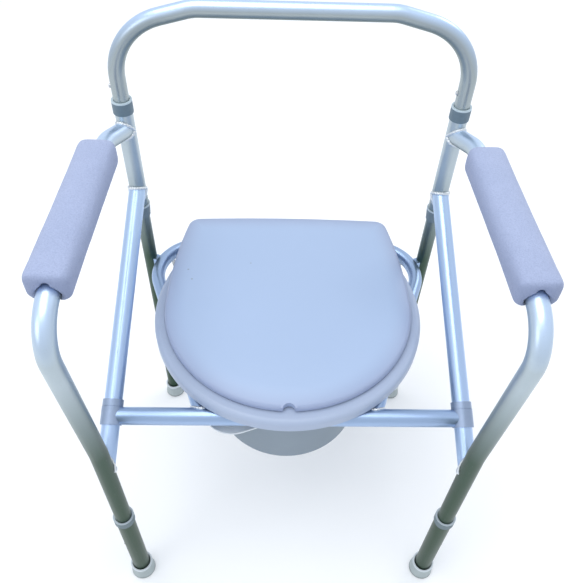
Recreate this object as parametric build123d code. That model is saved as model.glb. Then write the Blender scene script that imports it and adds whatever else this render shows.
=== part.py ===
from build123d import *
import math
import os

# Commode chair: aluminium frame, lift-out backrest, four telescopic legs, a plastic
# seat ring with its lid, two foam arm pads and a round pail on a wire rack.
# Millimetres. The front faces -Y, +X is the viewer's right, +Z is up. Pieces are drawn
# with Y = 0 midway between the front and rear legs, and saved with the origin on the
# floor under the middle of the whole chair.

# ---- driving dimensions: tubes ----
FRAME_OD = 25.4
SLIM_OD = 22.2
FRONT_LEG_OD = 28.6
TUBE_WALL = 1.2
TELESCOPE_GAP = 0.1

# ---- driving dimensions: side frames ----
FRONT_X = 254.0
FRONT_Y = -192.0
REAR_X = 238.5
REAR_Y = 192.0
LEG_KNEE_Z = 430.0
ARM_WELD_Z = 680.0
ARM_REAR = (256.0, 140.0, 694.0)
ARM_FRONT = (263.5, -204.0, 706.0)
ARM_REAR_RADIUS = 60.0
ARM_FRONT_RADIUS = 55.0
LEG_KNEE_RADIUS = 260.0
RAIL_REAR_Z = 572.5
RAIL_FRONT_Z = 381.0

# ---- driving dimensions: backrest ----
UPRIGHT_TOP_Z = 726.0
BACKREST_TOP_Z = 857.5
BACKREST_FLAT = 130.0
BACKREST_SLANT = 15.0
BACKREST_CORNER_RADIUS = 88.0
BACKREST_INSERT = 90.0

# ---- driving dimensions: rear joint and legs ----
UPRIGHT_END_Z = 526.0
REAR_LEG_TOP_Z = 600.0
LEG_COLLAR_Z = 231.0
LEG_INNER_END_Z = 92.0
EXTENSION_END_Z = 8.0
FOOT_RIM_Z = 32.0

# ---- driving dimensions: seat support ----
CROSSBAR_Y = -124.5
CROSSBAR_Z = 414.7
SLEEVE_WALL = 2.4
SLEEVE_LENGTH = 25.6
SLEEVE_RING_LENGTH = 10.0
BOW_FRONT_X = 122.5
BOW_REAR_Y = 228.0
BOW_SLOPE = 20.0
BOW_RADIUS = 70.0

# ---- driving dimensions: seat and lid ----
SEAT_CENTRE_Y = 52.5
SEAT_RADIUS = 208.5
SEAT_BOTTOM_Z = 430.0
SEAT_HEIGHT = 19.0
SEAT_WALL = 3.2
OPENING_Y = 22.5
OPENING_RX = 105.0
OPENING_RY = 122.0
SKIRT_BOTTOM_Z = 405.0
LID_CENTRE_Y = 54.5
LID_RADIUS = 192.0
LID_REAR_Y = 252.5
LID_REAR_X = 170.0
LID_BOTTOM_Z = 451.5
LID_HEIGHT = 14.0
LID_CROWN_RADIUS = 3400.0
LID_AXIS = (0, 240.5, 443.0)

# ---- driving dimensions: pail ----
PAIL_Y = 15.0
PAIL_BOTTOM_Z = 255.0
PAIL_RIM_Z = 386.0
PAIL_BOTTOM_R = 119.0
PAIL_TOP_R = 126.0
PAIL_FLANGE_R = 141.0
PAIL_WALL = 2.4
PAIL_TURN = 20.0
BAIL_HALF_WIDTH = 152.0
BAIL_REACH = 112.0
BAIL_CORNER = 38.0
BAIL_Z = 389.2
RACK_WIRE = 6.0
RACK_X = 131.0
RACK_TAB_X = 203.0

# ---- driving dimensions: arm pads ----
PAD_LENGTH = 262.0
PAD_WIDTH = 55.0
PAD_HEIGHT = 46.0
PAD_CORNER = 14.0
PAD_END_ROUND = 9.0
PAD_MID_Y = -24.0
PAD_RISE = 9.0

# ---- driving dimensions: rear edge of the lid and front of the arms, for the origin ----
OVERALL_FRONT_Y = -214.17
OVERALL_REAR_Y = 252.5

SIDES = {"left": -1, "right": 1}
os.makedirs("parts", exist_ok=True)


def save(shape, name):
    placed = Pos(0, -(OVERALL_FRONT_Y + OVERALL_REAR_Y) / 2, 0) * shape
    placed.label = name
    export_step(placed, f"parts/{name}.step")


def on_side(shape, sign):
    """Everything handed is drawn on the +X side and mirrored for the left."""
    return shape if sign > 0 else mirror(shape, about=Plane.YZ)


def rod(path, od):
    """A solid bar along a path: what a crossing tube is coped against."""
    return sweep(Plane(path @ 0, z_dir=path % 0) * Circle(od / 2), path=path)


def tube(path, od, wall=TUBE_WALL):
    start = Plane(path @ 0, z_dir=path % 0)
    return sweep(start * (Circle(od / 2) - Circle(od / 2 - wall)), path=path)


def upright_cylinder(x, y, z0, z1, radius):
    return Pos(x, y, z0) * extrude(Circle(radius), z1 - z0)


def hollow_post(x, y, z0, z1, od, wall=TUBE_WALL):
    return Pos(x, y, z0) * extrude(Circle(od / 2) - Circle(od / 2 - wall), z1 - z0)


def button_hole(x, y, z, direction, length=20.0, diameter=7.4):
    """A round hole for a snap button, from the tube's axis outwards."""
    return Plane((x, y, z), z_dir=direction) * extrude(Circle(diameter / 2), length)


# ---- side frames: arm and front leg in one bent tube, upright, sloping rail ----
ARM_START = (REAR_X, REAR_Y, ARM_WELD_Z)
KNEE = (FRONT_X, FRONT_Y, LEG_KNEE_Z)
LEG_END = (FRONT_X, FRONT_Y, LEG_INNER_END_Z)
BUTTON_Z = 118.0
HOLE_PITCH = 25.0
HOLES_BELOW = 2
HOLES_ABOVE = 3
LEG_TRAVEL_DOWN = 75.0
LEG_TRAVEL_UP = 50.0
BUTTON_SLOT_WIDTH = 8.0

arm_path = FilletPolyline(ARM_START, ARM_REAR, ARM_FRONT, KNEE, LEG_END,
                          radius=[ARM_REAR_RADIUS, ARM_FRONT_RADIUS, LEG_KNEE_RADIUS])
upright_rod = upright_cylinder(REAR_X, REAR_Y, UPRIGHT_END_Z, UPRIGHT_TOP_Z, FRAME_OD / 2 + 0.03)

# the slot in the hidden end of the leg, which the leg's snap button passes along
leg_slot_height = LEG_TRAVEL_DOWN + LEG_TRAVEL_UP + 14.0
leg_slot_z = BUTTON_Z + (LEG_TRAVEL_UP - LEG_TRAVEL_DOWN) / 2


def leg_slot(x, y):
    slot = Box(2 * FRAME_OD, BUTTON_SLOT_WIDTH, leg_slot_height)
    return Pos(x + FRAME_OD, y, leg_slot_z) * slot


side_tube = tube(arm_path, FRAME_OD) - upright_rod - leg_slot(FRONT_X, FRONT_Y)

RAIL_START = (REAR_X, REAR_Y, RAIL_REAR_Z)
RAIL_END = (FRONT_X, FRONT_Y, RAIL_FRONT_Z)
rail_path = Line(RAIL_START, RAIL_END)
side_rail = tube(rail_path, FRAME_OD) - upright_rod - rod(arm_path, FRAME_OD + 0.06)

JOINT_BUTTON_Z = 560.0
rear_upright = hollow_post(REAR_X, REAR_Y, UPRIGHT_END_Z, UPRIGHT_TOP_Z, FRAME_OD)
rear_upright -= button_hole(REAR_X, REAR_Y, JOINT_BUTTON_Z, (0, 1, 0))
rear_leg = hollow_post(REAR_X, REAR_Y, LEG_INNER_END_Z, REAR_LEG_TOP_Z, SLIM_OD)
rear_leg -= button_hole(REAR_X, REAR_Y, JOINT_BUTTON_Z, (0, 1, 0)) + leg_slot(REAR_X, REAR_Y)

# ---- collars: a cap over the end of the outer tube, with a lip round the inner one ----
COLLAR_WALL = 1.8
COLLAR_LIP = 2.0


def collar(outer_od, inner_od, height, ribs):
    """Drawn with its lip at z = 0 and its skirt hanging down over the outer tube."""
    skirt_r = outer_od / 2 + COLLAR_WALL
    body = extrude(Circle(skirt_r), -height)
    body = fillet(body.edges().group_by(Axis.Z)[-1], 0.8)
    body -= Pos(0, 0, -COLLAR_LIP) * extrude(Circle(outer_od / 2 + 0.05), -height)
    body -= Pos(0, 0, 1) * extrude(Circle(inner_od / 2 + 0.35), -height)
    for i in range(ribs):
        groove_z = -height + 1.6 + i * (height - 4.5) / max(ribs - 1, 1)
        ring = Circle(skirt_r + 1) - Circle(skirt_r - 0.25)
        body -= Pos(0, 0, groove_z - 0.3) * extrude(ring, 0.6)
    return body


BACK_COLLAR_HEIGHT = 20.0
LEG_COLLAR_HEIGHT = 15.0
back_collar = Pos(REAR_X, REAR_Y, UPRIGHT_TOP_Z + COLLAR_LIP) * collar(
    FRAME_OD, SLIM_OD, BACK_COLLAR_HEIGHT, 0)

# the rear joint's collar closes the lower end of the upright and tapers to the leg
JOINT_COLLAR_TOP_Z = 541.0
JOINT_COLLAR_BOTTOM_Z = 518.0
with BuildPart() as joint_collar_builder:
    with BuildSketch(Plane.XZ):
        with BuildLine():
            Polyline(
                (SLIM_OD / 2 + 0.05, JOINT_COLLAR_BOTTOM_Z),
                (SLIM_OD / 2 + 1.6, JOINT_COLLAR_BOTTOM_Z),
                (FRAME_OD / 2 + 1.9, JOINT_COLLAR_TOP_Z - 1),
                (FRAME_OD / 2 + 1.5, JOINT_COLLAR_TOP_Z),
                (FRAME_OD / 2 + 0.05, JOINT_COLLAR_TOP_Z),
                (FRAME_OD / 2 + 0.05, UPRIGHT_END_Z - 0.05),
                (SLIM_OD / 2 + 0.05, UPRIGHT_END_Z - 0.05),
                close=True,
            )
        make_face()
    revolve(axis=Axis.Z)
joint_collar = Pos(REAR_X, REAR_Y, 0) * joint_collar_builder.part

# ---- arm pads: moulded foam round the arm tube ----
arm_direction = (Vector(*ARM_FRONT) - Vector(*ARM_REAR)).normalized()
pad_t = (PAD_MID_Y - ARM_REAR[1]) / arm_direction.Y
pad_centre = Vector(*ARM_REAR) + arm_direction * pad_t + Vector(0, 0, PAD_RISE)
pad_plane = Plane(pad_centre, x_dir=(1, 0, 0), z_dir=arm_direction)
pad_block = extrude(RectangleRounded(PAD_WIDTH, PAD_HEIGHT, PAD_CORNER), PAD_LENGTH / 2, both=True)
pad_block = fillet(pad_block.edges().group_by(Axis.Z)[0], PAD_END_ROUND)
pad_block = fillet(pad_block.edges().group_by(Axis.Z)[-1], PAD_END_ROUND)
arm_pad = pad_plane * pad_block - rod(arm_path, FRAME_OD + 0.1)

# ---- front crossbar and the sleeves that grip the side rails ----
rail_direction = (Vector(*RAIL_END) - Vector(*RAIL_START)).normalized()
sleeve_t = (CROSSBAR_Y - RAIL_START[1]) / rail_direction.Y
sleeve_centre = Vector(*RAIL_START) + rail_direction * sleeve_t
sleeve_plane = Plane(sleeve_centre, x_dir=(1, 0, 0), z_dir=rail_direction)
sleeve_bore = FRAME_OD / 2 + 0.06
sleeve_ring = Circle(sleeve_bore + SLEEVE_WALL) - Circle(sleeve_bore)
ring_washer = Circle(sleeve_bore + SLEEVE_WALL - 0.5) - Circle(sleeve_bore)
main_sleeve = sleeve_plane * extrude(sleeve_ring, SLEEVE_LENGTH / 2, both=True)
end_ring = sleeve_plane * Pos(0, 0, -SLEEVE_LENGTH / 2 - 0.4) * extrude(
    ring_washer, -SLEEVE_RING_LENGTH)
crossbar_path = Line((-sleeve_centre.X, CROSSBAR_Y, CROSSBAR_Z), (sleeve_centre.X, CROSSBAR_Y, CROSSBAR_Z))
sleeve_solid = sleeve_plane * extrude(Circle(sleeve_bore + SLEEVE_WALL + 0.03), 60, both=True)
crossbar = tube(crossbar_path, FRAME_OD) - sleeve_solid - mirror(sleeve_solid, about=Plane.YZ)

# ---- seat bow: one bent tube behind and under the seat ----
bow_run = BOW_REAR_Y - CROSSBAR_Y
bow_corner_x = BOW_FRONT_X + bow_run * math.tan(math.radians(BOW_SLOPE))
bow_path = FilletPolyline(
    (-BOW_FRONT_X, CROSSBAR_Y, CROSSBAR_Z),
    (-bow_corner_x, BOW_REAR_Y, CROSSBAR_Z),
    (bow_corner_x, BOW_REAR_Y, CROSSBAR_Z),
    (BOW_FRONT_X, CROSSBAR_Y, CROSSBAR_Z),
    radius=BOW_RADIUS,
)
bow = tube(bow_path, SLIM_OD) - rod(crossbar_path, FRAME_OD + 0.06)

# a short plate joins the bow to each rear leg
LUG_SIZE = 13.0
LUG_TURN = 21.2
lug_plate = Pos(REAR_X, REAR_Y, CROSSBAR_Z) * Rot(0, 0, LUG_TURN) * Pos(-SLIM_OD / 2 - 1, 0, 0)
lug_plate *= Box(LUG_SIZE, LUG_SIZE, LUG_SIZE + 2)
leg_rod = upright_cylinder(REAR_X, REAR_Y, 350, 480, SLIM_OD / 2 + 0.03)
bow_lug = lug_plate - leg_rod - rod(bow_path, SLIM_OD + 0.06)
bow_lug = bow_lug.solids().sort_by(SortBy.VOLUME)[-1]

# ---- pail rack: a bent wire on each side carries the rim of the pail ----
rack_z = PAIL_RIM_Z - 3.2 - RACK_WIRE / 2
RACK_FRONT_Y = -101.0
RACK_REAR_Y = 206.0
rack_path = FilletPolyline(
    (RACK_X, RACK_FRONT_Y, CROSSBAR_Z - 8),
    (RACK_X, RACK_FRONT_Y, rack_z),
    (RACK_X, RACK_REAR_Y - 12, rack_z),
    (RACK_TAB_X, RACK_REAR_Y, rack_z),
    (RACK_TAB_X, RACK_REAR_Y, CROSSBAR_Z - 8),
    radius=[8, 14, 8],
)
rack_wire = rod(rack_path, RACK_WIRE) - rod(bow_path, SLIM_OD + 0.06)
rack_wire = rack_wire.solids().sort_by(SortBy.VOLUME)[-1]

# ---- telescopic legs ----
FOOT_FLARE = 2.0
FOOT_RUBBER = 4.4
FOOT_SOLE = 7.5


def leg_extension(x, y, inner_od, outer_od):
    bore = inner_od / 2 + TELESCOPE_GAP
    ring = Circle(outer_od / 2) - Circle(bore)
    post = Pos(x, y, EXTENSION_END_Z) * extrude(ring, LEG_COLLAR_Z - COLLAR_LIP - EXTENSION_END_Z)
    for i in range(-HOLES_BELOW, HOLES_ABOVE + 1):
        post -= button_hole(x, y, BUTTON_Z + i * HOLE_PITCH, (1, 0, 0))
    return post


def foot(x, y, outer_od):
    """A rubber tip: flared sole, straight cup and a bead round the rim."""
    cup_r = outer_od / 2 + FOOT_RUBBER
    with BuildPart() as tip:
        with BuildSketch(Plane.XZ):
            with BuildLine():
                Polyline(
                    (0, 0),
                    (cup_r + FOOT_FLARE - 1, 0),
                    (cup_r + FOOT_FLARE, 1.2),
                    (cup_r + FOOT_FLARE - 0.6, 7),
                    (cup_r - 0.4, 14),
                    (cup_r - 0.4, FOOT_RIM_Z - 4),
                    (cup_r, FOOT_RIM_Z - 3),
                    (cup_r, FOOT_RIM_Z - 0.8),
                    (cup_r - 0.8, FOOT_RIM_Z),
                    (outer_od / 2 + 1.6, FOOT_RIM_Z),
                    (outer_od / 2 + 0.05, FOOT_RIM_Z - 4),
                    (outer_od / 2 + 0.05, FOOT_SOLE),
                    (0, FOOT_SOLE),
                    close=True,
                )
            make_face()
        revolve(axis=Axis.Z)
    return Pos(x, y, 0) * tip.part


BUTTON_R = 3.2
LEAF_LENGTH = 34.0
LEAF_THICKNESS = 0.8


def snap_button(inner_radius, outer_radius):
    """A domed button riveted to a spring leaf; it points along +X from the tube's axis."""
    leaf_x = inner_radius - 2.2
    stem = Pos(leaf_x, 0, 0) * Rot(0, 90, 0) * extrude(Circle(BUTTON_R), outer_radius + 2.4 - leaf_x)
    stem = fillet(stem.edges().sort_by(Axis.X)[-1], 1.8)
    leaf = Pos(leaf_x - LEAF_THICKNESS / 2, 0, -LEAF_LENGTH / 2 + 7) * Box(LEAF_THICKNESS, 7.0, LEAF_LENGTH)
    return stem + leaf


LEGS = {
    "front": (FRONT_X, FRONT_Y, FRAME_OD, FRONT_LEG_OD),
    "rear": (REAR_X, REAR_Y, SLIM_OD, FRAME_OD),
}

# ---- backrest: a hoop that drops into the uprights ----
backrest_bottom_z = UPRIGHT_TOP_Z - BACKREST_INSERT
slant_drop = (REAR_X - BACKREST_FLAT) * math.tan(math.radians(BACKREST_SLANT))
backrest_path = FilletPolyline(
    (-REAR_X, REAR_Y, backrest_bottom_z),
    (-REAR_X, REAR_Y, BACKREST_TOP_Z - slant_drop),
    (-BACKREST_FLAT, REAR_Y, BACKREST_TOP_Z),
    (BACKREST_FLAT, REAR_Y, BACKREST_TOP_Z),
    (REAR_X, REAR_Y, BACKREST_TOP_Z - slant_drop),
    (REAR_X, REAR_Y, backrest_bottom_z),
    radius=[BACKREST_CORNER_RADIUS, 60, 60, BACKREST_CORNER_RADIUS],
)
BACK_BUTTON_Z = 748.0
backrest = tube(backrest_path, SLIM_OD)
for sign in SIDES.values():
    backrest -= button_hole(sign * REAR_X, REAR_Y, BACK_BUTTON_Z, (-1, 0, 0))

# ---- seat ring and lid outlines ----
SEAT_REAR_Y = 234.5
SEAT_REAR_HALF = 126.0


def seat_outline():
    """A round front, and sides that draw in to a straight rear edge."""
    side = math.radians(-9)
    turn = (SEAT_RADIUS * math.cos(side), SEAT_CENTRE_Y - SEAT_RADIUS * math.sin(side))
    front = ThreePointArc((-turn[0], turn[1]), (0, SEAT_CENTRE_Y - SEAT_RADIUS), turn)
    right = TangentArc(turn, (SEAT_REAR_HALF, SEAT_REAR_Y), tangent=front % 1)
    rear = Line((SEAT_REAR_HALF, SEAT_REAR_Y), (-SEAT_REAR_HALF, SEAT_REAR_Y))
    left = mirror(right, about=Plane.YZ)
    return make_face([front, right, rear, left])


def lid_outline():
    front = ThreePointArc((-LID_RADIUS, LID_CENTRE_Y), (0, LID_CENTRE_Y - LID_RADIUS), (LID_RADIUS, LID_CENTRE_Y))
    corner = (LID_REAR_X, LID_REAR_Y)
    right = TangentArc((LID_RADIUS, LID_CENTRE_Y), corner, tangent=(0, 1))
    rear = Line(corner, (-corner[0], corner[1]))
    left = mirror(right, about=Plane.YZ)
    face = make_face([front, right, rear, left])
    corners = [v for v in face.vertices() if abs(v.Y - LID_REAR_Y) < 0.1]
    return fillet(corners, 20)


opening = Pos(0, OPENING_Y) * Ellipse(OPENING_RX, OPENING_RY)
opening_outer = Pos(0, OPENING_Y) * Ellipse(OPENING_RX + SEAT_WALL, OPENING_RY + SEAT_WALL)
seat_plan = seat_outline()
seat_top_z = SEAT_BOTTOM_Z + SEAT_HEIGHT

seat_block = Pos(0, 0, SEAT_BOTTOM_Z) * extrude(seat_plan, SEAT_HEIGHT)
seat_block = fillet(seat_block.edges().group_by(Axis.Z)[-1], 8)
seat_block -= Pos(0, 0, SEAT_BOTTOM_Z - 1) * extrude(opening, SEAT_HEIGHT + 2)
cavity_plan = offset(seat_plan, -SEAT_WALL) - opening_outer
SEAT_TOP_WALL = 3.6
cavity = Pos(0, 0, SEAT_BOTTOM_Z - 1) * extrude(cavity_plan, SEAT_HEIGHT - SEAT_TOP_WALL + 1)
RIB_COUNT = 18
RIB_THICKNESS = 2.2
ribs = Part()
for i in range(RIB_COUNT):
    angle = (i + 0.5) * 360 / RIB_COUNT
    rib = Rot(0, 0, angle) * Pos(150, 0, SEAT_BOTTOM_Z + SEAT_HEIGHT / 2) * Box(300, RIB_THICKNESS, SEAT_HEIGHT - 6)
    ribs += Pos(0, OPENING_Y, 0) * rib
seat_ring = seat_block - (cavity - ribs)
skirt = Pos(0, 0, SKIRT_BOTTOM_Z) * extrude(
    opening_outer - opening, SEAT_BOTTOM_Z + SEAT_HEIGHT / 2 - SKIRT_BOTTOM_Z)
seat_ring += skirt

# ---- lid: a crowned shell with a finger notch and two hinge ears ----
LID_WALL = 3.0
LID_EDGE_ROUND = 4.5
NOTCH_RADIUS = 9.0
HINGE_X = 74.0
HINGE_EAR = 9.0
HINGE_POST = 8.0
HINGE_PIN_R = 2.5
HINGE_BARREL_R = 5.0

lid_plan = lid_outline()
crown_centre_z = LID_BOTTOM_Z + LID_HEIGHT - LID_CROWN_RADIUS
crown_ball = Pos(0, LID_CENTRE_Y, crown_centre_z) * Sphere(LID_CROWN_RADIUS)
lid = Pos(0, 0, LID_BOTTOM_Z) * extrude(lid_plan, LID_HEIGHT + 4)
lid &= crown_ball
lid = fillet(lid.edges().filter_by(lambda e: e.bounding_box().min.Z > LID_BOTTOM_Z + 4), LID_EDGE_ROUND)
lid_cavity = Pos(0, 0, LID_BOTTOM_Z - 1) * extrude(offset(lid_plan, -LID_WALL), LID_HEIGHT)
lid_cavity &= Pos(0, 0, -LID_WALL) * crown_ball
lid -= lid_cavity
lid_front_y = LID_CENTRE_Y - LID_RADIUS
notch = Pos(0, lid_front_y - 1, LID_BOTTOM_Z - 1) * extrude(Circle(NOTCH_RADIUS), LID_HEIGHT + 4)
notch_shell = Pos(0, lid_front_y - 1, LID_BOTTOM_Z) * extrude(Circle(NOTCH_RADIUS + LID_WALL), LID_HEIGHT + 4)
notch_shell &= Pos(0, 0, LID_BOTTOM_Z) * extrude(lid_plan, LID_HEIGHT + 4) & crown_ball
lid = lid + notch_shell - notch

hinge_pin_bore = HINGE_PIN_R + 0.08


def hinge_barrel(x, radius, width):
    """A disc across the hinge axis, centred on it."""
    disc = Rot(0, 90, 0) * extrude(Circle(radius), width / 2, both=True)
    return Pos(x, LID_AXIS[1], LID_AXIS[2]) * disc


for sign in SIDES.values():
    for shift in (-HINGE_EAR, HINGE_EAR):
        ear_x = sign * HINGE_X + shift
        ear = hinge_barrel(ear_x, HINGE_BARREL_R, 6)
        ear += Pos(ear_x, LID_AXIS[1] + 1, (LID_AXIS[2] + LID_BOTTOM_Z + 8) / 2) * Box(
            6, 2 * HINGE_BARREL_R - 2, LID_BOTTOM_Z + 8 - LID_AXIS[2])
        lid += ear
    lid -= hinge_barrel(sign * HINGE_X, hinge_pin_bore, 60)

# ---- seat hinge: posts for the lid, and clips that snap over the bow ----
CLIP_X = 104.0
CLIP_WIDTH = 24.0
CLIP_WALL = 3.2
clip_r = SLIM_OD / 2 + 0.35

for sign in SIDES.values():
    post = hinge_barrel(sign * HINGE_X, HINGE_BARREL_R, 11)
    post += Pos(sign * HINGE_X, LID_AXIS[1] - 5, LID_AXIS[2] - 5) * Box(11, 14, 10)
    post -= hinge_barrel(sign * HINGE_X, HINGE_PIN_R + 0.02, 30)
    seat_ring += post

hinge_pin = hinge_barrel(HINGE_X, HINGE_PIN_R, 2 * HINGE_EAR + 8)
hinge_pin += hinge_barrel(HINGE_X + HINGE_EAR + 4.6, HINGE_PIN_R + 1.4, 1.2)

clip_ring = Plane.YZ * (Circle(clip_r + CLIP_WALL) - Circle(clip_r))
clip = extrude(clip_ring, CLIP_WIDTH / 2, both=True)
clip -= Pos(0, 0, -clip_r - 4) * Box(CLIP_WIDTH + 2, 1.5 * clip_r, 2 * clip_r)
clip += Pos(0, 0, clip_r + 2) * Box(CLIP_WIDTH, 16, 3.6)
clip -= Rot(0, 90, 0) * extrude(Circle(clip_r), CLIP_WIDTH, both=True)
seat_clip = Pos(CLIP_X, BOW_REAR_Y, CROSSBAR_Z) * clip
clip_top_z = SEAT_BOTTOM_Z - 0.05
seat_clip -= Pos(CLIP_X, BOW_REAR_Y, clip_top_z + 10) * Box(60, 60, 20)

# rubber bumpers: the seat ring's stand on the crossbar, the lid's on the seat ring
BUMPER_R = 6.0
crossbar_top_z = CROSSBAR_Z + FRAME_OD / 2
SEAT_BUMPER_X = 70.0
seat_bumper = extrude(Circle(BUMPER_R), SEAT_BOTTOM_Z + SEAT_HEIGHT - SEAT_TOP_WALL - crossbar_top_z - 0.1)
seat_bumpers = [Pos(s * SEAT_BUMPER_X, CROSSBAR_Y, crossbar_top_z + 0.05) * seat_bumper for s in (-1, 1)]
LID_BUMPERS = [(-150, 60), (150, 60), (-62, -92), (62, -92)]
lid_ceiling = Pos(0, 0, -LID_WALL - 0.05) * crown_ball
lid_bumpers = [Pos(x, y, seat_top_z + 0.05) * extrude(Circle(BUMPER_R), LID_HEIGHT) & lid_ceiling
               for x, y in LID_BUMPERS]

# ---- pail ----
rim_z = PAIL_RIM_Z
with BuildPart() as pail_builder:
    with BuildSketch(Plane.XZ):
        with BuildLine():
            Polyline(
                (0, PAIL_BOTTOM_Z + 4),
                (PAIL_BOTTOM_R - 18, PAIL_BOTTOM_Z + 4),
                (PAIL_BOTTOM_R - 12, PAIL_BOTTOM_Z),
                (PAIL_BOTTOM_R - 5, PAIL_BOTTOM_Z),
                (PAIL_BOTTOM_R - 1.5, PAIL_BOTTOM_Z + 1.5),
                (PAIL_BOTTOM_R, PAIL_BOTTOM_Z + 5),
                (PAIL_TOP_R, rim_z - 3),
                (PAIL_FLANGE_R - 0.6, rim_z - 3),
                (PAIL_FLANGE_R, rim_z - 2),
                (PAIL_FLANGE_R, rim_z - 0.6),
                (PAIL_FLANGE_R - 0.6, rim_z),
                (PAIL_TOP_R - PAIL_WALL, rim_z),
                (PAIL_BOTTOM_R - PAIL_WALL, PAIL_BOTTOM_Z + 9),
                (PAIL_BOTTOM_R - 10, PAIL_BOTTOM_Z + 6.5),
                (0, PAIL_BOTTOM_Z + 6.5),
                close=True,
            )
        make_face()
    revolve(axis=Axis.Z)
pail_place = Pos(0, PAIL_Y, 0) * Rot(0, 0, PAIL_TURN)
EAR_X = PAIL_FLANGE_R - 5.0
BAIL_PIN_R = 3.0
BAIL_PIN_LENGTH = 24.0
BAIL_STRAP_WIDTH = 13.0
BAIL_STRAP = 3.0
pail = pail_builder.part
for sign in SIDES.values():
    pail += Pos(sign * EAR_X, 0, rim_z + 3.6) * Box(5, 12, 8)
    outward = Rot(0, sign * 90, 0)
    pin = Pos(sign * EAR_X, 0, BAIL_Z) * outward * extrude(Circle(BAIL_PIN_R), BAIL_PIN_LENGTH)
    head = Pos(sign * (EAR_X + BAIL_PIN_LENGTH), 0, BAIL_Z) * outward * extrude(Circle(BAIL_PIN_R + 1.2), 1.6)
    pail += pin + head

# the bail: a flat strap with a raised rib on each edge, folded forward on to the rim
def bail_loop(inner, outer, thickness):
    """The part of the strap between two distances from its middle line."""
    loops = []
    for grow in (inner, outer):
        width = 2 * (BAIL_HALF_WIDTH + grow)
        loops.append(RectangleRounded(width, 2 * (BAIL_REACH + grow), BAIL_CORNER + grow))
    front_half = Pos(0, -BAIL_REACH) * Rectangle(3 * BAIL_HALF_WIDTH, 2 * BAIL_REACH)
    return Pos(0, 0, BAIL_Z) * extrude((loops[1] - loops[0]) & front_half, thickness / 2, both=True)


BAIL_RIB = 2.0
half_strap = BAIL_STRAP_WIDTH / 2
bail = bail_loop(-half_strap, half_strap, 1.6)
bail += bail_loop(half_strap - BAIL_RIB, half_strap, BAIL_STRAP)
bail += bail_loop(-half_strap, BAIL_RIB - half_strap, BAIL_STRAP)
for sign in SIDES.values():
    eye_x = sign * (BAIL_HALF_WIDTH - 2)
    eye = Pos(eye_x, 0, BAIL_Z) * Rot(0, 90, 0) * extrude(Circle(BAIL_PIN_R + 3.2), 3.5, both=True)
    bail += eye
    bail -= Pos(eye_x, 0, BAIL_Z) * Rot(0, 90, 0) * extrude(Circle(BAIL_PIN_R + 0.1), 12, both=True)
bail = pail_place * bail
pail = pail_place * pail


def add_sided_pieces(side, sign):
    sided = {
        "side_tube": side_tube,
        "rear_upright": rear_upright,
        "side_rail": side_rail,
        "rear_leg": rear_leg,
        "backrest_collar": back_collar,
        "rear_joint_collar": joint_collar,
        "arm_pad": arm_pad,
        "crossbar_sleeve": main_sleeve,
        "sleeve_ring": end_ring,
        "bow_lug": bow_lug,
        "pail_rack": rack_wire,
        "lid_hinge_pin": hinge_pin,
        "seat_clip": seat_clip,
    }
    for name, shape in sided.items():
        save(on_side(shape, sign), f"{name}_{side}")
    for row, (x, y, inner_od, outer_od) in LEGS.items():
        leg_collar = Pos(x, y, LEG_COLLAR_Z) * collar(outer_od, inner_od, LEG_COLLAR_HEIGHT, 3)
        leg_button = Pos(x, y, BUTTON_Z) * snap_button(inner_od / 2 - TUBE_WALL, outer_od / 2)
        save(on_side(leg_extension(x, y, inner_od, outer_od), sign), f"leg_extension_{row}_{side}")
        save(on_side(leg_collar, sign), f"leg_collar_{row}_{side}")
        save(on_side(foot(x, y, outer_od), sign), f"foot_{row}_{side}")
        save(on_side(leg_button, sign), f"leg_button_{row}_{side}")


# ---- write every piece ----
for side, sign in SIDES.items():
    add_sided_pieces(side, sign)
    # both backrest buttons point the same way, so this pair is not mirrored
    back_button = Rot(0, 0, 180) * snap_button(SLIM_OD / 2 - TUBE_WALL, SLIM_OD / 2)
    save(Pos(sign * REAR_X, REAR_Y, BACK_BUTTON_Z) * back_button, f"backrest_button_{side}")
    joint_button = Rot(0, 0, 90) * snap_button(SLIM_OD / 2 - TUBE_WALL, FRAME_OD / 2)
    save(Pos(sign * REAR_X, REAR_Y, JOINT_BUTTON_Z) * joint_button, f"rear_joint_button_{side}")
save(crossbar, "front_crossbar")
save(bow, "seat_bow")
save(backrest, "backrest")
save(seat_ring, "seat_ring")
save(Compound(seat_bumpers), "seat_bumpers")
save(Compound(lid_bumpers), "lid_bumpers")
save(lid, "lid")
save(pail, "pail")
save(bail, "pail_bail")
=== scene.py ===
import bpy
import math
from mathutils import Matrix, Vector


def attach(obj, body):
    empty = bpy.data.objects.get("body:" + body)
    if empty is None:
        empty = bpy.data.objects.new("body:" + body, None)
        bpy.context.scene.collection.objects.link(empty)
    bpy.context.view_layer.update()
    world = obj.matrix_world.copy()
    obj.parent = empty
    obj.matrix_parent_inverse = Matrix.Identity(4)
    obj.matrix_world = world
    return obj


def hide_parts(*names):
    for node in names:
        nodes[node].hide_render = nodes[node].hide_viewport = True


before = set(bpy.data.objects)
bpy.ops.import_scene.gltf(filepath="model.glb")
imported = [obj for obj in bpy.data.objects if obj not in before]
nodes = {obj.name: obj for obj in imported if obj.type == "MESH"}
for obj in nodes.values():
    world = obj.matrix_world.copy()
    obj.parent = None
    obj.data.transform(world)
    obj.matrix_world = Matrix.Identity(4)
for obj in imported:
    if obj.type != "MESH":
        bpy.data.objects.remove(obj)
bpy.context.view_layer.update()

# ---------------------------------------------------------------------------
# Frame tubes: drawn aluminium tube, bent cold and clear anodised. The skin is
# satin with fine lengthwise die lines. Its colour is painted reflection: cool
# above, grey-green underneath and towards the floor.
# ---------------------------------------------------------------------------


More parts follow.
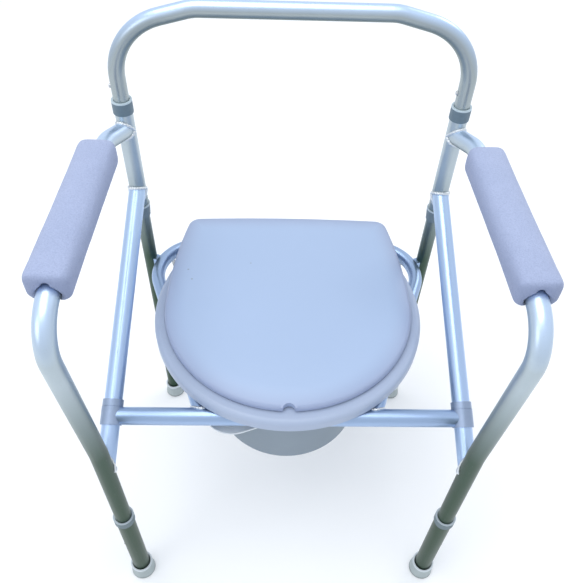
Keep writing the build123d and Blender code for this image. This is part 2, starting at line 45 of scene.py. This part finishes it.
class Reading:
    """One output of a finish's nodes, so that maths on it is written as maths."""

    def __init__(self, finish, socket):
        self.finish = finish
        self.socket = socket

    def _math(self, operation, first, second):
        return self.finish.node("ShaderNodeMath", {"operation": operation}, {0: first, 1: second})

    def __add__(self, other):
        return self._math("ADD", self, other)

    def __radd__(self, other):
        return self._math("ADD", other, self)

    def __sub__(self, other):
        return self._math("SUBTRACT", self, other)

    def __rsub__(self, other):
        return self._math("SUBTRACT", other, self)

    def __mul__(self, other):
        return self._math("MULTIPLY", self, other)

    def __rmul__(self, other):
        return self._math("MULTIPLY", other, self)

    def __gt__(self, other):
        return self._math("GREATER_THAN", self, other)

    def __lt__(self, other):
        return self._math("LESS_THAN", self, other)

    def least(self, other):
        return self._math("MINIMUM", self, other)

    def most(self, other):
        return self._math("MAXIMUM", self, other)

    def root(self):
        return self._math("SQRT", self, 0.0)


class Finish:
    """A material on the Principled shader, patterned in the object's own coordinates."""

    def __init__(self, name, **constants):
        self.material = bpy.data.materials.new(name)
        self.material.use_nodes = True
        self.tree = self.material.node_tree
        self.shader = self.tree.nodes["Principled BSDF"]
        for socket, value in constants.items():
            self.shader.inputs[socket.replace("_", " ")].default_value = value
        self.place = self.node("ShaderNodeTexCoord", {}, {}, "Object")

    def node(self, kind, settings, inputs, output=0):
        """Adds a node: its settings first, then the values or links of its sockets."""
        made = self.tree.nodes.new(kind)
        for key, value in settings.items():
            if key == "stops":
                while len(made.color_ramp.elements) < len(value):
                    made.color_ramp.elements.new(0.5)
                for element, (position, level) in zip(made.color_ramp.elements, value):
                    element.position = position
                    element.color = (level, level, level, 1)
            else:
                setattr(made, key, value)
        for key, value in inputs.items():
            if isinstance(value, Reading):
                self.tree.links.new(value.socket, made.inputs[key])
            else:
                made.inputs[key].default_value = value
        return Reading(self, made.outputs[output])

    def axis(self, letter):
        """Place along one axis, in metres."""
        return self.node("ShaderNodeSeparateXYZ", {}, {0: self.place}, letter)

    def upwards(self):
        """1 where the surface faces up, -1 where it faces down."""
        normal = self.node("ShaderNodeTexCoord", {}, {}, "Normal")
        return self.node("ShaderNodeSeparateXYZ", {}, {0: normal}, "Z")

    def noise(self, scale, detail=3.0, rough=0.5, stretch=(1, 1, 1)):
        """Cloudy pattern from 0 to 1; stretch is how much finer it is along each axis."""
        where = self.node("ShaderNodeMapping", {}, {"Vector": self.place, "Scale": stretch})
        return self.node("ShaderNodeTexNoise", {},
                         {"Vector": where, "Scale": scale, "Detail": detail, "Roughness": rough})

    def cells(self, scale):
        """Distance to the middle of the nearest of many scattered cells."""
        return self.node("ShaderNodeTexVoronoi", {}, {"Vector": self.place, "Scale": scale}, "Distance")

    def ramp(self, reading, *stops):
        """Reads a level off a line through the stops, each a position and its level."""
        return self.node("ShaderNodeValToRGB", {"stops": stops}, {0: reading})

    def blend(self, factor, first, second):
        """A colour between two colours."""
        return self.node("ShaderNodeMix", {"data_type": "RGBA"}, {0: factor, 6: first, 7: second}, 2)

    def bump(self, height, depth, strength=1.0, under=None):
        """Relief of this depth in metres, on top of the one under it."""
        inputs = {"Height": height, "Distance": depth, "Strength": strength}
        if under is not None:
            inputs["Normal"] = under
        return self.node("ShaderNodeBump", {}, inputs)

    def feed(self, **readings):
        """Links readings to the shader's sockets."""
        for socket, reading in readings.items():
            self.tree.links.new(reading.socket, self.shader.inputs[socket.replace("_", " ")])

    def cover(self, *names):
        """Puts the finish on CAD nodes, in place of their plain one."""
        for name in names:
            nodes[name].data.materials.clear()
            nodes[name].data.materials.append(self.material)


DULL_SPOT = (0.80, 0.84, 0.86, 1)
METAL_SPECK = (0.30, 0.33, 0.34, 1)


def anodised(name, above, beside, below, low_reflection, stretch):
    """Clear anodised tube, its colour painted reflection: cool on top, slate at the sides, grey-green under
    it and near the floor.
    """
    finish = Finish(name, Metallic=0.9, Specular_IOR_Level=0.5)
    cloud = finish.noise(9, 3, 0.55)
    lines = finish.noise(60, 2, 0.5, stretch)
    # painted reflection: the colour follows which way the skin faces and how near the floor it is
    facing = finish.upwards() * 0.5 + 0.5 + (cloud - 0.5) * 0.08
    low_reflection_mask = finish.ramp(finish.axis("Z"), (0.24, 1.0), (0.43, 0.94), (0.52, 0.55), (0.62, 0.0))
    skin = finish.blend(finish.ramp(facing, (0.54, 0.0), (0.90, 1.0)), beside, above)
    skin = finish.blend(finish.ramp(facing, (0.16, 1.0), (0.46, 0.0)), skin, below)
    skin = finish.blend(cloud * 0.12, skin, DULL_SPOT)
    skin = finish.blend(low_reflection_mask, skin, low_reflection)
    specks = finish.ramp(finish.noise(420, 2, 0.6), (0.66, 0.0), (0.72, 1.0))
    skin = finish.blend(specks * 0.18, skin, METAL_SPECK)
    finish.feed(Base_Color=skin, Roughness=0.25 + cloud * 0.10 + lines * 0.10,
                Normal=finish.bump(lines, 0.00012, 0.35))
    return finish


ALONG_X = (0.12, 6, 6)
ALONG_Y = (6, 0.12, 6)
ALONG_Z = (6, 6, 0.12)
SIDES = {"left": -1, "right": 1}

# painted reflection: sky-blue on top, slate at the sides, dark grey-green near the floor
upright_tube = anodised("anodised_upright_tube",
                        above=(0.58, 0.73, 0.94, 1), beside=(0.42, 0.49, 0.53, 1),
                        below=(0.14, 0.18, 0.17, 1), low_reflection=(0.034, 0.068, 0.040, 1), stretch=ALONG_Z)
for side in SIDES:
    upright_tube.cover(f"side_tube_{side}", f"rear_upright_{side}", f"rear_leg_{side}",
                       f"leg_extension_front_{side}", f"leg_extension_rear_{side}")

# ---------------------------------------------------------------------------
# Crossbar and seat bow: level tubes under the seat. The bow is one bent length,
# coped and welded to the back of the crossbar, with a lug to each rear leg.
# ---------------------------------------------------------------------------
# painted reflection, bluish all round and also near the floor
level_tube = anodised("anodised_level_tube",
                      above=(0.44, 0.58, 0.88, 1), beside=(0.42, 0.53, 0.72, 1),
                      below=(0.13, 0.17, 0.18, 1), low_reflection=(0.34, 0.46, 0.66, 1), stretch=ALONG_X)
level_tube.cover("front_crossbar", "seat_bow", "bow_lug_left", "bow_lug_right")

# ---------------------------------------------------------------------------
# Side rails: sloping lengths of the same tube between the rear uprights and
# the front legs. They face the sky all along, so their painted reflection stays pale.
# ---------------------------------------------------------------------------
rail_tube = anodised("anodised_rail_tube",
                     above=(0.47, 0.63, 0.87, 1), beside=(0.40, 0.52, 0.68, 1),
                     below=(0.12, 0.16, 0.16, 1), low_reflection=(0.44, 0.58, 0.82, 1), stretch=ALONG_Y)
rail_tube.cover("side_rail_left", "side_rail_right")

# ---------------------------------------------------------------------------
# Backrest hoop: slimmer tube that drops into the rear uprights. Its painted
# reflection is a little greyer than the frame's, and it stands too high to take up any painted green.
# ---------------------------------------------------------------------------
hoop_tube = anodised("anodised_hoop_tube",
                     above=(0.54, 0.70, 0.94, 1), beside=(0.34, 0.39, 0.40, 1),
                     below=(0.14, 0.18, 0.165, 1), low_reflection=(0.14, 0.18, 0.165, 1), stretch=ALONG_Z)
hoop_tube.cover("backrest")

# ---------------------------------------------------------------------------
# Weld beads: a row of overlapping puddles where one tube is coped on to
# another, brighter and rougher than the tubes and left as they cooled.
# ---------------------------------------------------------------------------
bead_metal = Finish("weld_bead", Metallic=1.0)
bead_cloud = bead_metal.noise(900, 3, 0.6)
bead_metal.feed(Base_Color=bead_metal.blend(bead_cloud, (0.52, 0.56, 0.60, 1), (0.86, 0.90, 0.93, 1)),
                Roughness=0.30 + bead_cloud * 0.2,
                Normal=bead_metal.bump(bead_cloud, 0.0002, 0.5))
BEAD_THICKNESS = 0.0026
BEAD_RIPPLES = 22
BEAD_RIPPLE_DEPTH = 0.24
BEAD_LIFT = 0.0004
BEAD_SINK = 0.0008


def weld_bead(name, joint, run, tube_radius, post, post_radius):
    """A rippled ring round a tube that runs off from a post, following the post's curve."""
    joint, run, post = Vector(joint), Vector(run).normalized(), Vector(post).normalized()
    across = run.cross(post).normalized()
    over = across.cross(run)
    bpy.ops.object.select_all(action="DESELECT")
    bpy.ops.mesh.primitive_torus_add(major_radius=tube_radius, minor_radius=BEAD_THICKNESS,
                                     major_segments=132, minor_segments=10)
    bead = bpy.context.object
    bead.name = name
    run_flat = run - run.dot(post) * post
    for vertex in bead.data.vertices:
        angle = math.atan2(vertex.co.y, vertex.co.x)
        ripple = 1 + BEAD_RIPPLE_DEPTH * abs(math.sin(angle * BEAD_RIPPLES / 2))
        outward = math.hypot(vertex.co.x, vertex.co.y) - tube_radius
        side = math.cos(angle) * across + math.sin(angle) * over
        # how far along the run this side of the tube meets the post's skin
        side_flat = side - side.dot(post) * post
        half = tube_radius * run_flat.dot(side_flat)
        rest = tube_radius ** 2 * side_flat.length_squared - post_radius ** 2
        spread = max(half ** 2 - run_flat.length_squared * rest, 0)
        reach = (-half + math.sqrt(spread)) / run_flat.length_squared
        middle = joint + run * reach + side * tube_radius
        place = middle + side * outward * ripple + run * (vertex.co.z * ripple + BEAD_LIFT)
        # the bead bites into the post's wall but doesn't come through it
        from_post = place - joint - post * (place - joint).dot(post)
        sunk = post_radius - BEAD_SINK - from_post.length
        if sunk > 0:
            place += from_post.normalized() * sunk
        vertex.co = place
    bpy.ops.object.mode_set(mode="EDIT")
    bpy.ops.mesh.select_all(action="SELECT")
    bpy.ops.mesh.normals_make_consistent(inside=False)
    bpy.ops.object.mode_set(mode="OBJECT")
    bpy.ops.object.shade_smooth()
    bead.data.materials.append(bead_metal.material)
    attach(bead, "frame")


TUBE_RADIUS = 0.0127
SLIM_TUBE_RADIUS = 0.0111
UPRIGHT = (0, 0, 1)
LEVEL = (1, 0, 0)
RAIL_REAR = (0.2385, 0.172835, 0.5725)
RAIL_FRONT = (0.254, -0.211165, 0.381)
ARM_WELD = (0.2385, 0.172835, 0.680)
ARM_RUN = (0.0175, -0.052, 0.014)
BOW_WELD = (0.1225, -0.143665, 0.4147)
BOW_RUN = (0.34202, 0.93969, 0)


def mirrored(place, sign):
    """The place or direction on the left side for sign -1, and as it is for 1."""
    return Vector((sign * place[0], place[1], place[2]))


for side, sign in SIDES.items():
    rail_rear = mirrored(RAIL_REAR, sign)
    rail_front = mirrored(RAIL_FRONT, sign)
    weld_bead(f"weld_arm_{side}", mirrored(ARM_WELD, sign), mirrored(ARM_RUN, sign),
              TUBE_RADIUS, UPRIGHT, TUBE_RADIUS)
    weld_bead(f"weld_rail_rear_{side}", rail_rear, rail_front - rail_rear,
              TUBE_RADIUS, UPRIGHT, TUBE_RADIUS)
    weld_bead(f"weld_rail_front_{side}", rail_front, rail_rear - rail_front,
              TUBE_RADIUS, UPRIGHT, TUBE_RADIUS)
    weld_bead(f"weld_bow_{side}", mirrored(BOW_WELD, sign), mirrored(BOW_RUN, sign),
              SLIM_TUBE_RADIUS, LEVEL, TUBE_RADIUS)

# ---------------------------------------------------------------------------
# Sleeves on the side rails: short pressed T-sleeves that grip the rail and
# carry the crossbar, with a loose ring above each.
# ---------------------------------------------------------------------------
sleeve_metal = Finish("sleeve_satin", Metallic=0.75)
sleeve_cloud = sleeve_metal.noise(40, 4, 0.6)
sleeve_grain = sleeve_metal.noise(1600, 2, 0.5)
sleeve_metal.feed(
    Base_Color=sleeve_metal.blend(sleeve_cloud, (0.24, 0.31, 0.43, 1), (0.36, 0.44, 0.60, 1)),
    Roughness=0.34 + sleeve_cloud * 0.14,
    Normal=sleeve_metal.bump(sleeve_grain, 0.00008, 0.4))
for side in SIDES:
    sleeve_metal.cover(f"crossbar_sleeve_{side}", f"sleeve_ring_{side}")

# ---------------------------------------------------------------------------
# Collars: moulded plastic caps over the ends of the outer tubes. Their upper
# lip is smoother and painted paler as a highlight, the skirt is dull slate, and the legs' are ribbed.
# ---------------------------------------------------------------------------


def collar_plastic(name, lip_z, slate, lip_highlight):
    """Slate skirt below lip_z and a lip above it, painted paler as a highlight."""
    finish = Finish(name, Specular_IOR_Level=0.5)
    dust = finish.noise(160, 4, 0.6)
    grain = finish.noise(2600, 2, 0.5)
    on_lip = finish.axis("Z") > lip_z
    dusty_slate = [level * 1.5 for level in slate[:3]] + [1]
    skirt = finish.blend(dust * 0.6, slate, dusty_slate)
    # the lip's paler colour is a painted highlight
    finish.feed(Base_Color=finish.blend(on_lip, skirt, lip_highlight),
                Roughness=0.42 + dust * 0.16 - on_lip * 0.12,
                Normal=finish.bump(grain, 0.00006, 0.5))
    return finish


back_collar = collar_plastic("collar_backrest", lip_z=0.7258,
                             slate=(0.105, 0.155, 0.195, 1), lip_highlight=(0.46, 0.56, 0.62, 1))
joint_collar = collar_plastic("collar_rear_joint", lip_z=0.5385,
                              slate=(0.125, 0.170, 0.205, 1), lip_highlight=(0.42, 0.50, 0.56, 1))
leg_collar = collar_plastic("collar_leg", lip_z=0.2305,
                            slate=(0.115, 0.160, 0.180, 1), lip_highlight=(0.42, 0.49, 0.54, 1))
for side in SIDES:
    back_collar.cover(f"backrest_collar_{side}")
    joint_collar.cover(f"rear_joint_collar_{side}")
    leg_collar.cover(f"leg_collar_front_{side}", f"leg_collar_rear_{side}")

# ---------------------------------------------------------------------------
# Snap buttons, lid pins and rack wires: small plated steel pieces.
# ---------------------------------------------------------------------------
plated = Finish("plated_steel", Metallic=1.0)
plated_wear = plated.noise(240, 4, 0.65)
plated.feed(Base_Color=plated.blend(plated_wear, (0.36, 0.38, 0.40, 1), (0.66, 0.68, 0.70, 1)),
            Roughness=0.16 + plated_wear * 0.22,
            Normal=plated.bump(plated.noise(1800, 2), 0.00005, 0.4))
for side in SIDES:
    plated.cover(f"backrest_button_{side}", f"rear_joint_button_{side}", f"leg_button_front_{side}",
                 f"leg_button_rear_{side}", f"lid_hinge_pin_{side}", f"pail_rack_{side}")

# ---------------------------------------------------------------------------
# Feet: moulded grey rubber tips pushed on to the ends of the legs, scuffed
# and darker at the sole, with the bead round the rim painted paler as a highlight.
# ---------------------------------------------------------------------------
FOOT_RIM_Z = 0.0278
FOOT_RIM_HIGHLIGHT = (0.60, 0.66, 0.70, 1)
SOLE_DARKENING = (0.10, 0.11, 0.10, 1)

foot_rubber = Finish("foot_rubber", Specular_IOR_Level=0.35)
foot_height = foot_rubber.axis("Z")
foot_dirt = foot_rubber.noise(70, 5, 0.65)
foot_sole = foot_rubber.ramp(foot_height * 100 + foot_dirt * 0.8, (0.35, 1.0), (1.0, 0.0))
foot_rim = foot_height > FOOT_RIM_Z
foot_colour = foot_rubber.blend(foot_dirt, (0.30, 0.35, 0.36, 1), (0.47, 0.53, 0.54, 1))
# the rim is painted paler as a highlight
foot_colour = foot_rubber.blend(foot_rim, foot_colour, FOOT_RIM_HIGHLIGHT)
# darker towards the sole
foot_colour = foot_rubber.blend(foot_sole * 0.75, foot_colour, SOLE_DARKENING)
foot_rubber.feed(Base_Color=foot_colour, Roughness=0.55 + foot_dirt * 0.2,
                 Normal=foot_rubber.bump(foot_rubber.noise(1500, 3), 0.00012, 0.5))
for side in SIDES:
    foot_rubber.cover(f"foot_front_{side}", f"foot_rear_{side}")

# ---------------------------------------------------------------------------
# Seat ring and its clips: thick moulded polypropylene with a fine satin
# grain, a little cloudy, with a few specks of dirt.
# ---------------------------------------------------------------------------
EDGE_SHADE = (0.315, 0.375, 0.545, 1)
DIRT_SPECK = (0.22, 0.24, 0.27, 1)


def moulded_seat(name, colour, shade, rolled_edge=None):
    """Satin moulding; rolled_edge gives the strip along its outline that falls away, and is painted greyer
    there as shade.
    """
    finish = Finish(name, Specular_IOR_Level=0.5)
    cloud = finish.noise(5, 3, 0.5)
    grain = finish.noise(1900, 3, 0.55)
    swirl = finish.noise(26, 4, 0.6)
    skin = finish.blend(cloud, colour, shade)
    relief = finish.bump(grain, 0.00007, 0.45)
    if rolled_edge is not None:
        edge = rolled_edge(finish)
        # painted shade along the rolled edge
        skin = finish.blend(edge * 0.9, skin, EDGE_SHADE)
        relief = finish.bump(1 - edge, 0.0065, 1.0, relief)
    spots = (finish.cells(34) < 0.055) * (finish.noise(7, 1) > 0.60)
    skin = finish.blend(spots * 0.55, skin, DIRT_SPECK)
    finish.feed(Base_Color=skin, Roughness=0.36 + swirl * 0.10, Normal=relief)
    return finish


ring_plastic = moulded_seat("moulded_seat_ring", (0.375, 0.445, 0.585, 1), (0.345, 0.415, 0.555, 1))
ring_plastic.cover("seat_ring", "seat_clip_left", "seat_clip_right")

# ---------------------------------------------------------------------------
# Lid: the same plastic in a slightly cleaner, bluer shade. Its crown rolls
# down all along its outline, where it is painted greyer as shade.
# ---------------------------------------------------------------------------
LID_CENTRE_Y = 0.035335
LID_RADIUS = 0.192
LID_REAR_REACH = 0.198
LID_SIDE_CURVE = 0.56
LID_EDGE_WIDTH = 0.036


def lid_edge(finish):
    """1 on the lid's outline, easing to 0 where its crown begins."""
    across = finish.axis("X")
    back = finish.axis("Y") - LID_CENTRE_Y
    ahead = back.least(0.0)
    behind = back.most(0.0)
    from_centre = (across * across + ahead * ahead).root()
    side_gap = LID_RADIUS - from_centre - behind * behind * LID_SIDE_CURVE
    gap = side_gap.least(LID_REAR_REACH - back)
    fall = 1 - (gap * (1 / LID_EDGE_WIDTH)).least(1.0)
    return fall * fall


lid_plastic = moulded_seat("moulded_lid", (0.372, 0.475, 0.660, 1), (0.345, 0.450, 0.635, 1), lid_edge)
lid_plastic.cover("lid")

# ---------------------------------------------------------------------------
# Bumpers: soft white rubber buttons under the ring and the lid.
# ---------------------------------------------------------------------------
bumper_rubber = Finish("bumper_rubber", Specular_IOR_Level=0.3)
bumper_dust = bumper_rubber.noise(300, 3)
bumper_rubber.feed(Base_Color=bumper_rubber.blend(bumper_dust, (0.66, 0.68, 0.70, 1), (0.80, 0.82, 0.84, 1)),
                   Roughness=0.6 + bumper_dust * 0.2)
bumper_rubber.cover("seat_bumpers", "lid_bumpers")

# ---------------------------------------------------------------------------
# Pail: grey moulded tub with a flat rim, dull outside, with faint turned
# rings from its mould.
# ---------------------------------------------------------------------------
pail_plastic = Finish("pail_plastic", Specular_IOR_Level=0.4)
pail_cloud = pail_plastic.noise(14, 4, 0.55)
pail_rings = pail_plastic.noise(9, 2, 0.5, (0.05, 0.05, 60))
pail_grain = pail_plastic.bump(pail_plastic.noise(1500), 0.00008, 0.5)
pail_plastic.feed(
    Base_Color=pail_plastic.blend(pail_cloud, (0.185, 0.235, 0.285, 1), (0.245, 0.300, 0.355, 1)),
    Roughness=0.42 + pail_cloud * 0.14,
    Normal=pail_plastic.bump(pail_rings, 0.00025, 0.3, pail_grain))
pail_plastic.cover("pail")

# ---------------------------------------------------------------------------
# Bail: the pail's carrying handle, a strap of whitish plastic with a slightly
# uneven skin.
# ---------------------------------------------------------------------------
bail_plastic = Finish("bail_plastic", Specular_IOR_Level=0.5, IOR=1.49)
bail_cloud = bail_plastic.noise(60, 4, 0.6)
bail_plastic.feed(Base_Color=bail_plastic.blend(bail_cloud, (0.56, 0.61, 0.66, 1), (0.72, 0.77, 0.80, 1)),
                  Roughness=0.30 + bail_cloud * 0.15,
                  Normal=bail_plastic.bump(bail_cloud, 0.0002, 0.3))
bail_plastic.cover("pail_bail")

# ---------------------------------------------------------------------------
# Arm pads: closed-cell foam moulded round the arm tube. The skin is finely
# pebbled, the long edges are well rounded and the faces swell a little.
# ---------------------------------------------------------------------------
foam = Finish("pebbled_foam", Specular_IOR_Level=0.3, Sheen_Weight=0.15, Sheen_Roughness=0.5)
foam_patch = foam.noise(22, 4, 0.6)
foam_pebble = foam.noise(600, 3, 0.6)
foam_fine = foam.noise(1300, 4, 0.65)
# painted shade: darker where the skin faces sideways or down, and in the pits between the pebbles
foam_side_shade = foam.ramp(foam.upwards(), (0.05, 0.75), (0.85, 0.0))
foam_pit_shade = foam.ramp(foam_pebble, (0.36, 0.45), (0.58, 0.0))
foam_colour = foam.blend(foam_patch, (0.330, 0.390, 0.570, 1), (0.410, 0.470, 0.660, 1))
foam_colour = foam.blend(foam_side_shade, foam_colour, (0.235, 0.280, 0.430, 1))
foam_colour = foam.blend(foam_pit_shade, foam_colour, (0.250, 0.300, 0.455, 1))
foam.feed(Base_Color=foam_colour, Roughness=0.72 + foam_patch * 0.14,
          Normal=foam.bump(foam_pebble, 0.0012, 0.8, foam.bump(foam_fine, 0.0005, 0.6)))

PAD_VOXEL = 0.0042
PAD_SHRINK = 0.0022
PAD_SWELL = 0.0034
PAD_SWELL_FRAMES = 20
BORE_RADIUS = 0.0129
BORE_MARGIN = 0.002
ARM_REAR = (0.256, 0.120835, 0.694)
ARM_FRONT = (0.2635, -0.223165, 0.706)


def even_skin(pad):
    """Welds the pad's surface, draws it in and covers it with an even net."""
    bpy.ops.object.select_all(action="DESELECT")
    pad.select_set(True)
    bpy.context.view_layer.objects.active = pad
    bpy.ops.object.mode_set(mode="EDIT")
    bpy.ops.mesh.select_all(action="SELECT")
    bpy.ops.mesh.remove_doubles(threshold=0.00002)
    bpy.ops.mesh.normals_make_consistent(inside=False)
    bpy.ops.transform.shrink_fatten(value=-PAD_SHRINK)
    bpy.ops.object.mode_set(mode="OBJECT")
    remesh = pad.modifiers.new("even_skin", "REMESH")
    remesh.mode = "VOXEL"
    remesh.voxel_size = PAD_VOXEL
    bpy.ops.object.modifier_apply(modifier="even_skin")


def swell(pad):
    """Blows the pad's skin up a little, as foam swells in its mould."""
    cloth = pad.modifiers.new("swell", "CLOTH")
    cloth.settings.quality = 6
    cloth.settings.mass = 0.25
    cloth.settings.tension_stiffness = 18
    cloth.settings.compression_stiffness = 18
    cloth.settings.bending_stiffness = 1.2
    cloth.settings.use_pressure = True
    cloth.settings.uniform_pressure_force = 4
    cloth.settings.effector_weights.gravity = 0
    cloth.point_cache.frame_start = 1
    cloth.point_cache.frame_end = PAD_SWELL_FRAMES
    for step in range(1, PAD_SWELL_FRAMES + 1):
        bpy.context.scene.frame_set(step)
    bpy.ops.object.modifier_apply(modifier="swell")
    bpy.context.scene.frame_set(1)


def hold_swell(pad, start, arm_start, arm_run):
    """Limits how far the skin has swelled, and keeps the bore close round the arm tube."""
    for vertex, was in zip(pad.data.vertices, start):
        moved = vertex.co - was
        if moved.length > PAD_SWELL:
            vertex.co = was + moved * (PAD_SWELL / moved.length)
        along = arm_start + arm_run * (vertex.co - arm_start).dot(arm_run)
        from_tube = vertex.co - along
        if from_tube.length < BORE_RADIUS + BORE_MARGIN:
            vertex.co = along + from_tube.normalized() * BORE_RADIUS


def rub_down(pad):
    """Takes the net's steps off the skin and makes it finer."""
    smooth = pad.modifiers.new("rub_down", "SMOOTH")
    smooth.iterations = 3
    smooth.factor = 0.5
    bpy.ops.object.modifier_apply(modifier="rub_down")
    finer = pad.modifiers.new("finer", "SUBSURF")
    finer.levels = 1
    finer.render_levels = 1
    bpy.ops.object.modifier_apply(modifier="finer")
    bpy.ops.object.shade_smooth()


for side, sign in SIDES.items():
    pad = bpy.data.objects.new(f"foam_arm_pad_{side}", nodes[f"arm_pad_{side}"].data.copy())
    bpy.context.scene.collection.objects.link(pad)
    even_skin(pad)
    start = [vertex.co.copy() for vertex in pad.data.vertices]
    swell(pad)
    arm_start = mirrored(ARM_REAR, sign)
    arm_run = (mirrored(ARM_FRONT, sign) - arm_start).normalized()
    hold_swell(pad, start, arm_start, arm_run)
    rub_down(pad)
    pad.data.materials.clear()
    pad.data.materials.append(foam.material)
    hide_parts(f"arm_pad_{side}")
    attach(pad, "frame")

# ---------------------------------------------------------------------------
# Setting: a plain pale floor under a plain pale sky, a large soft lamp
# overhead and two weaker ones, from the front left and the rear right.
# ---------------------------------------------------------------------------
bpy.ops.object.select_all(action="DESELECT")
bpy.ops.mesh.primitive_plane_add(size=12, location=(0, 0, 0))
floor = bpy.context.object
floor.name = "floor"
floor_paint = Finish("floor_paint", Roughness=0.9, Specular_IOR_Level=0.1)
floor_paint.feed(Base_Color=floor_paint.blend(
    floor_paint.noise(2), (0.93, 0.94, 0.95, 1), (0.95, 0.96, 0.97, 1)))
floor.data.materials.append(floor_paint.material)

sky = bpy.data.worlds.new("pale_sky")
bpy.context.scene.world = sky
sky.use_nodes = True
sky_light = sky.node_tree.nodes["Background"].inputs
sky_light["Color"].default_value = (0.90, 0.94, 1.0, 1)
sky_light["Strength"].default_value = 0.95

LAMPS_AIM_AT = Vector((0, 0, 0.4))
LAMPS = (("overhead", (-0.5, -0.1, 3.4), 2.4, 42),
         ("front_left", (-2.4, -1.8, 2.0), 1.6, 11),
         ("rear_right", (2.0, 1.8, 2.2), 1.0, 10))
for name, place, size, power in LAMPS:
    bpy.ops.object.light_add(type="AREA", location=place)
    lamp = bpy.context.object
    lamp.name = name
    lamp.data.size = size
    lamp.data.energy = power
    lamp.rotation_euler = (LAMPS_AIM_AT - Vector(place)).to_track_quat("-Z", "Y").to_euler()

# ---------------------------------------------------------------------------
# Camera: looks down at the chair from a standing person's height, turned a
# little to the right and not quite level.
# ---------------------------------------------------------------------------
pitch = math.radians(48.09)
yaw = math.radians(2.31)
roll = math.radians(2.47)
forward = Vector((math.sin(yaw) * math.cos(pitch), math.cos(yaw) * math.cos(pitch), -math.sin(pitch)))
level_right = Vector((math.cos(yaw), -math.sin(yaw), 0))
level_up = level_right.cross(forward)
right = level_right * math.cos(roll) + level_up * math.sin(roll)
upward = -level_right * math.sin(roll) + level_up * math.cos(roll)
camera = bpy.data.objects.new("camera", bpy.data.cameras.new("camera"))
bpy.context.scene.collection.objects.link(camera)
camera.data.lens = 39.94
camera.data.sensor_width = 36
camera_turn = Matrix((right, upward, -forward)).transposed().to_4x4()
camera.matrix_world = Matrix.Translation((-0.02272, -0.628255, 1.22495)) @ camera_turn
bpy.context.scene.camera = camera
bpy.context.scene.view_settings.view_transform = "Standard"
